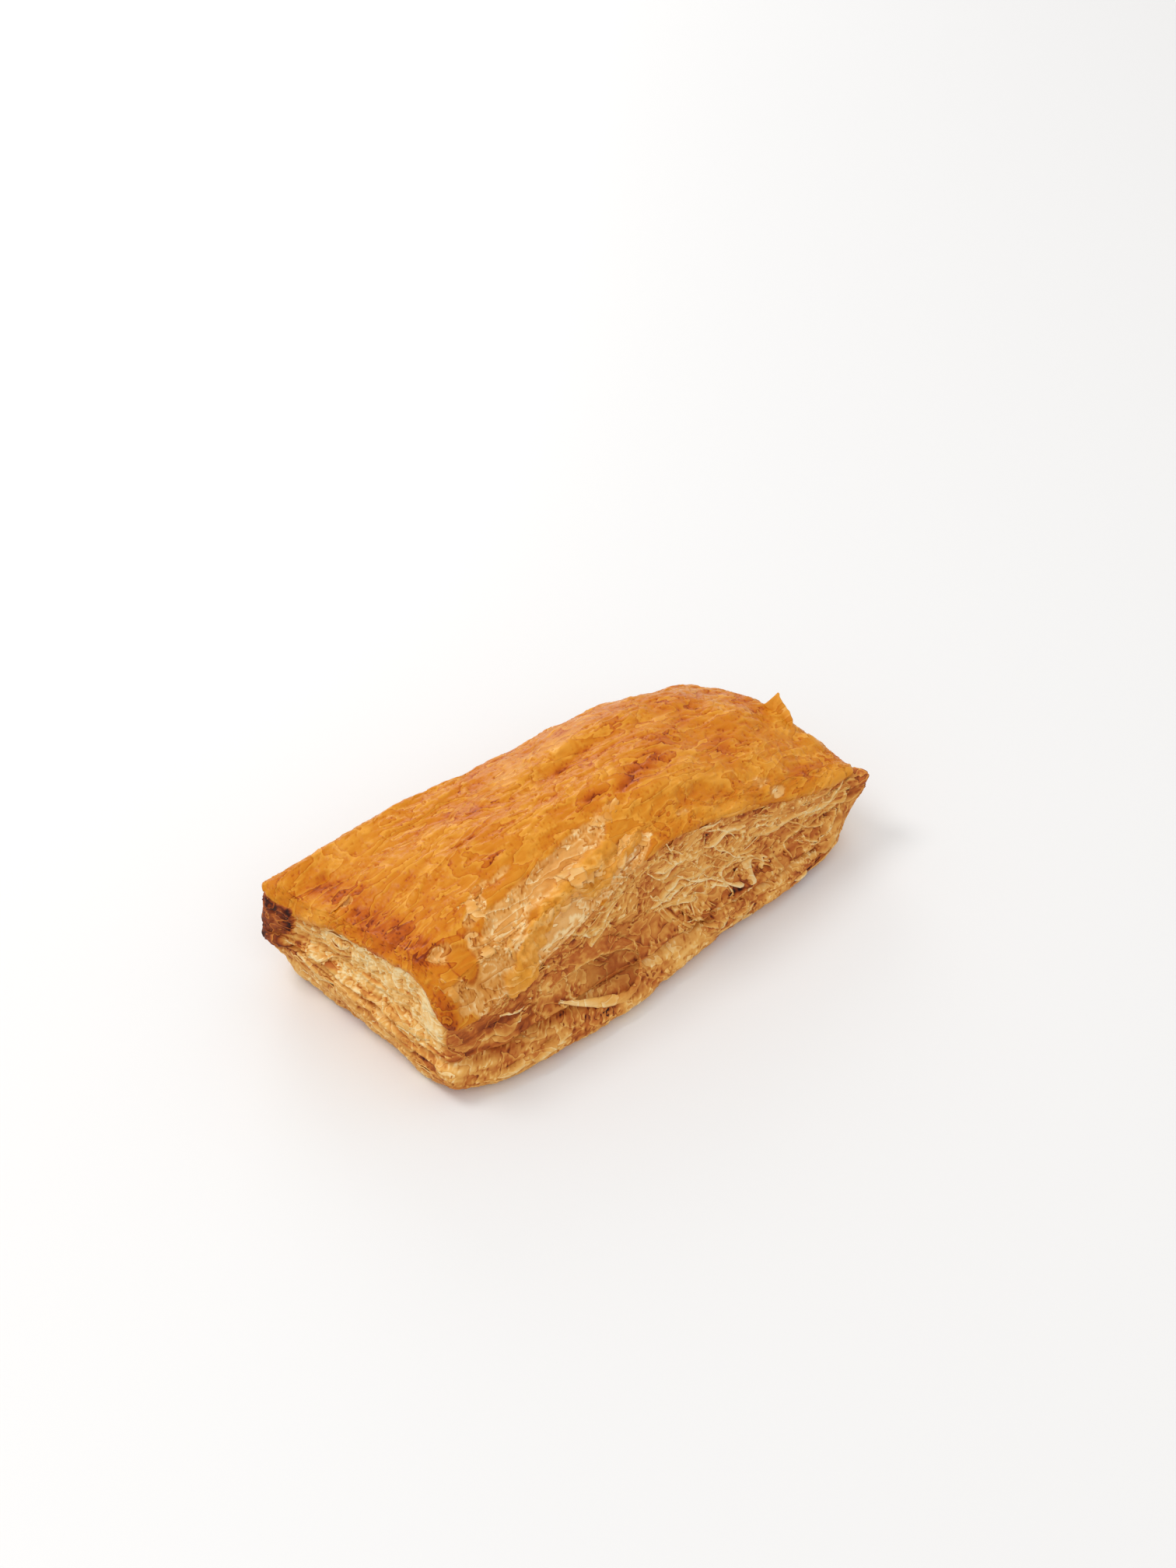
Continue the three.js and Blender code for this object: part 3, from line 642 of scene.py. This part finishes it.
sheet_relief = (0.5 * ripples + 0.32 * wrinkles - 0.16 * creases + 0.04 * blisters
                + 0.13 * film - 0.36 + 0.16 * film_rims - 0.16 * film_cracks
                - 0.24 * depth + 0.22 * rims - 0.14 * cracks
                - 0.13 * scatter_depth + 0.1 * scatter_rims - 0.08 * scatter_cracks)
sheet_relief = sheet_relief * (1 - 0.7 * bare_spot) - 0.5 * bare_spot
sheet_relief += roll * (1.4 + 0.9 * ridge_grain + 0.4 * blisters)
sheet_relief *= smooth(0.15, 0.5, edge_share)
top_final = top_points + top_normals * sheet_relief[:, None]
ragged_edge = 0.7 * noise(x / 5 + y / 5, 0.3, 0.7, 171) + 0.5 * noise(x / 1.8 + y / 1.8, 0.9, 0.2, 172)
top_final[:, 2] += ragged_edge * (1 - smooth(0.42, 0.62, edge_share))

browned = patches(BROWNED, x, y) + 0.14 * smooth(15, 40, x) + 0.25 * grain(top_points, (7, 4, 4), 191, 3)
# The tone is lighter on the raised ripples and wrinkles, as painted highlight, and darker in the creases and
# in the cracks between films and chips, as painted shade.
top_tone = (0.32 + 0.08 * ripples + 0.1 * wrinkles - 0.15 * creases
            + 0.045 * film + 0.12 * film_rims - 0.22 * film_cracks
            + 0.03 * scatter_depth + 0.08 * scatter_rims - 0.14 * scatter_cracks
            + 0.15 * grain(top_points, (14, 8, 8), 181, 4) - 0.36 * smooth(0.1, 0.9, browned))
pale_strip = 0.12 * smooth(-44, -38, x) * (1 - smooth(-25.5, -22.5, y))
near_end = 0.12 * (1 - smooth(-54, -44, x))
# The cracks of the peeled islands are drawn darker: painted shade.
peeled_tone = 0.6 + pale_strip - near_end + 0.32 * peel_patches + 0.3 * rims - 0.42 * cracks
top_tone = top_tone * (1 - peeled) + peeled_tone * peeled
top_tone = top_tone * (1 - bare_spot) + (0.4 + 0.05 * ripples) * bare_spot
# The dark rim round the bare spot is painted shade where its edge steps down.
top_tone -= 0.9 * bare_spot * (1 - bare_spot)  # its dark rim
peeled *= (1 - bare_spot) * (1 - 0.88 * ridge)
top_tone = top_tone * (1 - ridge) + (0.78 + 0.14 * blisters + 0.3 * ridge_grain) * ridge
glaze = np.clip(1 - 0.28 * depth - 0.12 * scatter_depth, 0, 1) * (1 - 0.3 * ridge)

# Egg-washed crust: a thin baked film of egg over browned dough. To the eye, a satin gloss that breaks up
# in wrinkles and pores, golden where thin, red-brown where the wash pooled, and matt cream where peeled.
# The edges of the films are drawn with pale lips and with painted shade in their cracks.
MOTTLE_SIZE, PORE_SIZE, FILM_SIZE = 3.846, 1.4286, 9.524  # mm; real pores are finer than these
FILMS_DEEP = 9  # how many films of crust lie over each other, as in the dry pastry's scales
TOP_TONES = [(at, linear(colour)) for at, colour in (
    (0.0, "822F06"), (0.2, "B7560A"), (0.38, "CA7313"), (0.52, "CF7E1A"), (0.68, "D98F2A"),
    (0.84, "E39A35"), (1.0, "ECAC52"))]
PEELED_TONES = [(at, linear(colour)) for at, colour in (
    (0.0, "8F4812"), (0.25, "BE7228"), (0.5, "D89444"), (0.75, "E7AF68"), (1.0, "F5D49C"))]
glazed_crust, shader = new_material("egg-washed crust")
shader.inputs["Specular IOR Level"].default_value = 0.12
here = add_node(glazed_crust, "TexCoord").outputs["Object"]
tone_sum, glaze_at, peeled_at = (
    add_node(glazed_crust, "Attribute", {"attribute_name": key}).outputs["Fac"]
    for key in ("tone", "glaze", "peeled"))
lengthwise = add_node(glazed_crust, "Mapping", {"Scale": (0.4, 1, 1)}, Vector=here)
mottle = add_node(glazed_crust, "TexNoise", {
    "Scale": 1 / (MOTTLE_SIZE * MM), "Detail": 6, "Roughness": 0.66}, Vector=lengthwise)
pores = add_node(glazed_crust, "TexNoise", {
    "Scale": 1 / (PORE_SIZE * MM), "Detail": 3, "Roughness": 0.6}, Vector=here)
film_field = add_node(glazed_crust, "TexNoise", {
    "Scale": 1 / (FILM_SIZE * MM), "Detail": 3.5, "Roughness": 0.5, "Distortion": 0.35}, Vector=lengthwise)
film_steps = add_node(glazed_crust, "Math", {"operation": "MULTIPLY", 1: FILMS_DEEP}, _0=film_field)
film_part = add_node(glazed_crust, "Math", {"operation": "FRACT"}, _0=film_steps)
film_edges = add_node(glazed_crust, "ValToRGB", {"stops": EDGE_STOPS}, Fac=film_part)
edge_amount = add_node(
    glazed_crust, "Math", {"operation": "MULTIPLY_ADD", 1: 0.06, 2: 0.44}, _0=peeled_at)
edge_middle = add_node(glazed_crust, "Math", {"operation": "SUBTRACT", 1: 0.5}, _0=film_edges)
parts = [
    add_node(glazed_crust, "Math", {"operation": "MULTIPLY_ADD", 1: 0.24, 2: -0.12}, _0=mottle),
    add_node(glazed_crust, "Math", {"operation": "MULTIPLY_ADD", 1: 0.05, 2: -0.025}, _0=pores),
    add_node(glazed_crust, "Math", {"operation": "MULTIPLY"}, _0=edge_middle, _1=edge_amount)]
for part in parts:
    tone_sum = add_node(glazed_crust, "Math", {"operation": "ADD"}, _0=tone_sum, _1=part)
glazed_colour = add_node(glazed_crust, "ValToRGB", {"stops": TOP_TONES}, Fac=tone_sum)
peeled_colour = add_node(glazed_crust, "ValToRGB", {"stops": PEELED_TONES}, Fac=tone_sum)
skin = add_node(
    glazed_crust, "Mix", {"data_type": "RGBA"}, _0=peeled_at, _6=glazed_colour, _7=peeled_colour)
gloss = add_node(glazed_crust, "MapRange", {"To Min": 0.66, "To Max": 0.28}, Value=glaze_at)
gloss_part = add_node(
    glazed_crust, "Math", {"operation": "MULTIPLY_ADD", 1: 0.16, 2: -0.08}, _0=mottle)
gloss_sum = add_node(glazed_crust, "Math", {"operation": "ADD"}, _0=gloss, _1=gloss_part)
height = add_node(glazed_crust, "Math", {"operation": "MULTIPLY_ADD", 1: 0.35}, _0=pores, _2=mottle)
height = add_node(glazed_crust, "Math", {"operation": "ADD"}, _0=film_edges, _1=height)
bump = add_node(glazed_crust, "Bump", {"Strength": 0.5, "Distance": 0.5 * MM}, Height=height)
for name, socket in (
        ("Base Color", skin.outputs[2]), ("Roughness", gloss_sum.outputs[0]), ("Normal", bump.outputs[0])):
    glazed_crust.node_tree.links.new(socket, shader.inputs[name])

top_values = {"tone": top_tone, "glaze": glaze, "peeled": peeled}
top_bm = grid_bmesh(TOP_COLUMNS + 1, TOP_ROWS + 1, top_final, top_values)
close_inside(top_bm, 13 * MM, 0.88)
glazed_top = object_of(top_bm, "glazed_top", glazed_crust)
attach(glazed_top, "root")

# ---- Torn sheets hanging on the sides -----------------------------------------------------------------
# Thin baked sheets of dough, torn loose along one edge, that hang from or stand up on the sides.
# Each is as thin as a leaf, brown where it's rooted and pale along its ragged free edge.
SHEET_THICKNESS = 0.22
HAND_GRID, SCATTERED_GRID = (44, 6), (18, 3)  # points along and across each
# Listed: [place from, place to, share from, share to, width, lift, tone]. A share counts from the seam
# to the eave, or down to -1 at the underside, and a negative width is a sheet whose free edge is up.
HAND_SHEETS = [
    [0.5, 0.7, 0.1, 0.22, -1.6, 0.9, 0.42], [0.48, 0.62, 0.24, 0.34, 1.6, 0.9, 0.6],
    [0.56, 0.78, 0.3, 0.5, -1.6, 0.8, 0.5], [0.5, 0.6, 0.62, 0.7, 2.0, 1.0, 0.66],
    [0.6, 0.76, 0.72, 0.86, 2.2, 0.8, 0.7], [0.72, 0.9, 0.6, 0.7, 1.9, 0.8, 0.62],
    [0.12, 0.36, 0.1, 0.2, -1.6, 1.0, 0.3], [0.2, 0.4, 0.45, 0.6, 1.8, 0.9, 0.56],
    [0.05, 0.2, 0.35, 0.3, 1.6, 0.8, 0.36]]
# Scattered: how many, between which places and which shares, width, lift, tone and how far askew.
SCATTERS = [
    (92, (0.46, 0.98), (0.1, 0.97), 1.7, 0.85, 0.52, 0.2),
    (16, (0.28, 0.47), (0.62, 0.95), 1.6, 0.9, 0.5, 0.06),
    (12, (0.1, 0.34), (0.2, 0.9), 1.2, 0.6, 0.42, 0.06),
    (34, (0.04, 0.98), (-0.75, -0.1), 1.6, 0.7, 0.58, 0.06),
    (34, (3.05, 3.95), (0.05, 0.95), 1.7, 0.7, 0.6, 0.06),
    (16, (3.05, 3.95), (-0.7, -0.05), 1.3, 0.5, 0.55, 0.06),
    (70, (2.04, 2.93), (0.05, 0.97), 1.9, 0.9, 0.58, 0.06),
    (24, (2.04, 2.96), (-0.75, -0.1), 1.6, 0.7, 0.58, 0.06),
    (34, (1.05, 1.95), (0.05, 0.95), 1.7, 0.8, 0.58, 0.06),
    (14, (1.05, 1.95), (-0.7, -0.1), 1.5, 0.6, 0.58, 0.06)]
chance = np.random.default_rng(7)


def scattered_sheets(count, place_range, share_range, width, lift, tone, askew):
    """Sheets like those listed, at random places."""
    sheets = []
    for _ in range(count):
        length = chance.uniform(0.035, 0.13) * (2.2 if int(place_range[0]) % 2 else 1)
        start = chance.uniform(place_range[0], place_range[1] - length)
        share = chance.uniform(*share_range)
        if place_range[1] < 1 and start < 0.43 and start + length > 0.26 and -0.6 < share < 0.55:
            continue  # the pocket and the channel below it stay open
        sheets.append([
            start, start + length, share, share + chance.normal(0, askew),
            chance.uniform(0.6, 1.3) * width * chance.choice([-1, 1, 1]),
            chance.uniform(0.5, 1.2) * lift, tone + chance.normal(0, 0.13)])
    return sheets


def share_position(share):
    """The position on the side's profile of a share of its height."""
    return np.interp(share, [-1, -0.85, -0.54, -0.2, 0, 0.1, 0.24, 0.84, 0.97, 1.1],
                     [0.4, 1, 2, 3, 4, 5, 6, 7, 8, 8.5])


def leaf_grid(columns, rows, along_range, across_range):
    """How far along and across a leaf each of its points lies, row by row."""
    along, across = np.linspace(*along_range, columns), np.linspace(*across_range, rows)
    return np.tile(along, rows), np.repeat(across, columns)


def add_leaf(bm, points, columns, rows, tones):
    """A small grid of its own in the mesh, moved to the points in mm."""
    tone_layer = bm.verts.layers.float.get("tone") or bm.verts.layers.float.new("tone")
    made = bmesh.ops.create_grid(bm, x_segments=columns - 1, y_segments=rows - 1, size=1)["verts"]
    for v in made:
        k = round((v.co.y + 1) / 2 * (rows - 1)) * columns + round((v.co.x + 1) / 2 * (columns - 1))
        v.co = points[k] * MM
        v[tone_layer] = tones[k]


def leaf_object(bm, name, material, thickness, **values):
    """The object of open leaves, with each value the same all over and their thickness in mm: a second
    skin behind each leaf, and its edge between the two."""
    for key, value in values.items():
        value_layer = bm.verts.layers.float.new(key)
        for v in bm.verts:
            v[value_layer] = value
    bm.normal_update()
    grown = bmesh.ops.extrude_face_region(bm, geom=bm.faces[:])["geom"]
    for v in [g for g in grown if isinstance(g, bmesh.types.BMVert)]:
        v.co -= v.normal * thickness * MM
    return object_of(bm, name, material)


scattered = [sheet for scatter in SCATTERS for sheet in scattered_sheets(*scatter)]
sheets_bm = bmesh.new()
for number, (start, end, share_from, share_to, width, lift, leaf_tone) in enumerate(HAND_SHEETS + scattered):
    grid = HAND_GRID if number < len(HAND_SHEETS) else SCATTERED_GRID
    along, across = leaf_grid(*grid, (0, 1), (0, 1))
    leaf_place = start + (end - start) * along
    seam = seam_at(leaf_place)
    height = seam if max(share_from, share_to) < 0 else eave_at(leaf_place) - seam
    taper = np.sin(np.pi * np.clip(along, 0.015, 0.985)) ** 0.45
    ragged = (1 + 0.26 * noise(along * 2.6, number * 3.3, 0.5, 201)
              + 0.14 * noise(along * 9, number * 1.7, 0.5, 202))
    wander = 0.12 * noise(along * 2.7, number * 2.1, 0.2, 203)
    share = share_from + (share_to - share_from) * along + wander - across * width * taper * ragged / height
    base, _ = wall_base(leaf_place, share_position(share))
    outer = np.stack(plan_point(np.mod(leaf_place, 4), np.full(base.shape[0], -3.0), 3.0), axis=1)
    inner = np.stack(plan_point(np.mod(leaf_place, 4), np.full(base.shape[0], 0.0), 3.0), axis=1)
    out = (outer - inner) / np.maximum(np.linalg.norm(outer - inner, axis=1, keepdims=True), 1e-6)
    lifted = lift * (0.75 + 0.3 * noise(along * 2.2, number * 5.1, 0.9, 204))
    rise = -0.9 + (0.9 + lifted) * across ** 0.75 * taper
    base[:, :2] += out * rise[:, None]
    base[:, 2] = np.maximum(base[:, 2] + 0.25 * noise(along * 9, number * 7.7, across, 205), 0.25)
    tones = leaf_tone - 0.24 + 0.46 * across ** 2 + 0.14 * noise(along * 11, number * 9.1, across * 2, 206)
    add_leaf(sheets_bm, base, *grid, tones)
torn_leaves = leaf_object(sheets_bm, "torn_sheets", dry_pastry, SHEET_THICKNESS)
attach(torn_leaves, "root")

# ---- Loose flakes of the top ---------------------------------------------------------------------------
# Chips of the top sheet, broken round the peeled islands and along the ridge and lying or curling there:
# the same egg-washed crust, yellow to cream.
FLAKE_COUNT, FLAKE_POINTS, FLAKE_THICKNESS = 30, 5, 0.12
FLAKE_GLAZE, FLAKE_PEELED = 0.6, 0.45
CLEAR_RADII = (6.5, 7)  # round the bare spot, where no chips lie
flakes_bm = bmesh.new()
along, across = leaf_grid(FLAKE_POINTS, FLAKE_POINTS, (-1, 1), (-1, 1))
round_off = 1 - 0.22 * (along * across) ** 2
on_top = (edge_share > 0.72) & (x < 2)
likely = np.where(on_top, smooth(0.25, 0.5, peel_level) * (1 - 0.8 * torn_level) + 0.02 * ridge, 0)
likely *= from_bare_spot(x, y, CLEAR_RADII) > 1
spots = chance.choice(top_final.shape[0], FLAKE_COUNT, replace=False, p=likely / likely.sum())
for number, spot in enumerate(spots):
    normal = top_normals[spot]
    turn = chance.uniform(0, 2 * np.pi)
    side = np.cross(normal, [np.sin(turn), np.cos(turn), 0.1])
    side /= np.linalg.norm(side)
    over = np.cross(normal, side)
    long, short = chance.uniform(1.2, 3.4), chance.uniform(0.8, 2.0)
    jag_x, jag_y = (0.5 * noise(along * 1.7, across * 1.7, number * 1.37 + k, 211) for k in (0.2, 9.4))
    ux, uy = (along * round_off + jag_x) * long, (across * round_off + jag_y) * short
    curl = 0.02 + chance.uniform(0.0, 0.35) * (np.clip(along + 0.6 * across, 0, 2) / 1.6) ** 2
    points = top_final[spot] + side * ux[:, None] + over * uy[:, None] + normal * curl[:, None]
    value = np.clip(top_tone[spot] + 0.08 + chance.normal(0, 0.06), 0.4, 0.74)
    tones = value + 0.1 * (along * along + across * across) / 2
    add_leaf(flakes_bm, points, FLAKE_POINTS, FLAKE_POINTS, tones)
loose_flakes = leaf_object(
    flakes_bm, "top_flakes", glazed_crust, FLAKE_THICKNESS, glaze=FLAKE_GLAZE, peeled=FLAKE_PEELED)
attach(loose_flakes, "root")

# ---- Standing flake ------------------------------------------------------------------------------------
# One stiff flake of the glazed sheet that stands up like an ear at the edge of the right end.
EAR_PLACE, EAR_TURN, EAR_LEAN = (66.4 - CENTRE[0], -5.0 - CENTRE[1], 27.6), 1.71, -0.66
EAR_COLUMNS, EAR_ROWS, EAR_HALF, EAR_ROOT, EAR_THICKNESS, EAR_GLAZE = 34, 12, 7.5, 2.5, 0.3, 0.7
EAR_OUTLINE = [  # how far along, how high
    (-7.5, 0.2), (-6.4, 2.2), (-5.2, 3.2), (-3.8, 4.4), (-2.2, 5.2), (-0.7, 6.4), (0.5, 8.0), (1.2, 6.6),
    (2.0, 5.2), (3.4, 3.0), (5.5, -0.6)]
ear_bm = bmesh.new()
along, up = leaf_grid(EAR_COLUMNS, EAR_ROWS, (-EAR_HALF, EAR_HALF), (0, 1))
ear_top = np.interp(along, *np.transpose(EAR_OUTLINE))
ear_up = -EAR_ROOT + (ear_top + EAR_ROOT + 0.5 * noise(along * 0.9, 0.4, 0.3, 221)) * up
bow = 0.9 * np.sin(along / 3.1) * up + 0.3 * noise(along / 2, ear_up / 2, 0.2, 222)
lean_out = -ear_up * np.sin(-EAR_LEAN) + bow
ear_x = along * np.cos(EAR_TURN) - lean_out * np.sin(EAR_TURN)
ear_y = along * np.sin(EAR_TURN) + lean_out * np.cos(EAR_TURN)
ear_points = np.stack([ear_x, ear_y, ear_up * np.cos(EAR_LEAN)], axis=1) + EAR_PLACE
ear_tones = 0.56 + 0.2 * noise(along / 2, ear_up / 2, 0.7, 223) + 0.26 * up ** 4
add_leaf(ear_bm, ear_points, EAR_COLUMNS, EAR_ROWS, ear_tones)
standing_flake = leaf_object(ear_bm, "standing_flake", glazed_crust, EAR_THICKNESS, glaze=EAR_GLAZE)
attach(standing_flake, "root")

# ---- Tongue of pastry ----------------------------------------------------------------------------------
# A pale strip of several sheets still stuck together, pulled out of the side below the pocket.
TONGUE_PATH = [
    (-34.2, -31.4, 12.4), (-31.4, -32.7, 11.2), (-28.2, -33.8, 9.8), (-25.2, -34.9, 8.7), (-22.4, -35.7, 7.7),
    (-19.4, -36.5, 6.9), (-16.6, -36.8, 6.6), (-14.0, -36.5, 7.0), (-11.9, -35.8, 8.3), (-10.5, -34.9, 10.0),
    (-9.4, -33.6, 11.7), (-8.6, -31.8, 13.2)]
TONGUE_WIDTHS = [0.3, 1.5, 2.1, 2.6, 2.8, 2.7, 2.3, 2.0, 2.1, 2.4, 2.3, 1.8]
TONGUE_TONES = [0.8, 0.78, 0.76, 0.7, 0.64, 0.54, 0.42, 0.38, 0.36, 0.34, 0.36, 0.38]
TONGUE_COLUMNS, TONGUE_ROWS, TONGUE_THICKNESS = 72, 9, 0.8
TONGUE_SLANT = np.array([0.1, 0.55, 0.83])  # from its lower edge to its upper


def along_list(values, at):
    """The values, or points, of a list at places counted along it."""
    values = np.array(values, float).reshape(len(values), -1)
    return np.stack([np.interp(at, range(len(values)), column) for column in values.T], axis=1)


tongue_bm = bmesh.new()
along, across = leaf_grid(TONGUE_COLUMNS, TONGUE_ROWS, (0, len(TONGUE_PATH) - 1), (-1, 1))
half_width = along_list(TONGUE_WIDTHS, along)[:, 0] / 2 * (1 + 0.22 * noise(along * 2.1, across, 0.4, 231))
tongue_points = along_list(TONGUE_PATH, along) + TONGUE_SLANT * (across * half_width)[:, None]
tongue_points[:, 1] -= 0.35 * (1 - across ** 2) + 0.3 * noise(along * 1.3, across * 1.5, 0.2, 232)
tongue_tones = along_list(TONGUE_TONES, along)[:, 0] - 0.1 * across
tongue_tones += 0.12 * noise(along * 1.6, across * 3, 0.1, 233)
add_leaf(tongue_bm, tongue_points, TONGUE_COLUMNS, TONGUE_ROWS, tongue_tones)
tongue = leaf_object(tongue_bm, "pastry_tongue", dry_pastry, TONGUE_THICKNESS)
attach(tongue, "root")

# ---- Arched sheet over the pocket ----------------------------------------------------------------------
# One broad brown sheet that has lifted like a small roof over the pocket, its free edge turned outwards.
ARCH_PATH = [
    (-35.0, -27.6, 14.6), (-32.4, -27.2, 16.6), (-29.2, -26.8, 18.0), (-25.6, -26.5, 18.8),
    (-22.0, -26.3, 18.8), (-18.2, -26.4, 18.2), (-14.2, -26.6, 16.8), (-10.6, -27.4, 14.8),
    (-7.4, -28.8, 12.2), (-6.4, -31.0, 10.4)]
ARCH_DROPS = [0.4, 1.4, 2.3, 2.9, 3.1, 3.0, 2.6, 2.0, 1.5, 0.6]
ARCH_COLUMNS, ARCH_ROWS, ARCH_THICKNESS = 80, 10, 0.35
arch_bm = bmesh.new()
along, across = leaf_grid(ARCH_COLUMNS, ARCH_ROWS, (0, len(ARCH_PATH) - 1), (0, 1))
ragged = 1 + 0.18 * noise(along * 1.4, 0.3, 0.6, 241) + 0.1 * noise(along * 4.5, 0.8, 0.6, 242)
drop = along_list(ARCH_DROPS, along)[:, 0] * ragged
arch_points = along_list(ARCH_PATH, along)
arch_points[:, 2] += 0.8 - (drop + 0.8) * across + 0.3 * noise(along * 1.1, across * 2, 0.4, 243)
arch_points[:, 1] += 0.9 - (1.4 + 0.5 * drop) * across ** 0.85
arch_points[:, 1] += 0.35 * noise(along * 1.7, across * 1.8, 0.2, 244)
arch_tones = (0.22 + 0.1 * noise(along * 0.9, across * 5, 0.1, 245)
              + 0.08 * noise(along * 5, across * 4, 0.9, 246) + 0.36 * smooth(0.84, 1.0, across))
add_leaf(arch_bm, arch_points, ARCH_COLUMNS, ARCH_ROWS, arch_tones)
arched_sheet = leaf_object(arch_bm, "arched_sheet", dry_pastry, ARCH_THICKNESS)
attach(arched_sheet, "root")
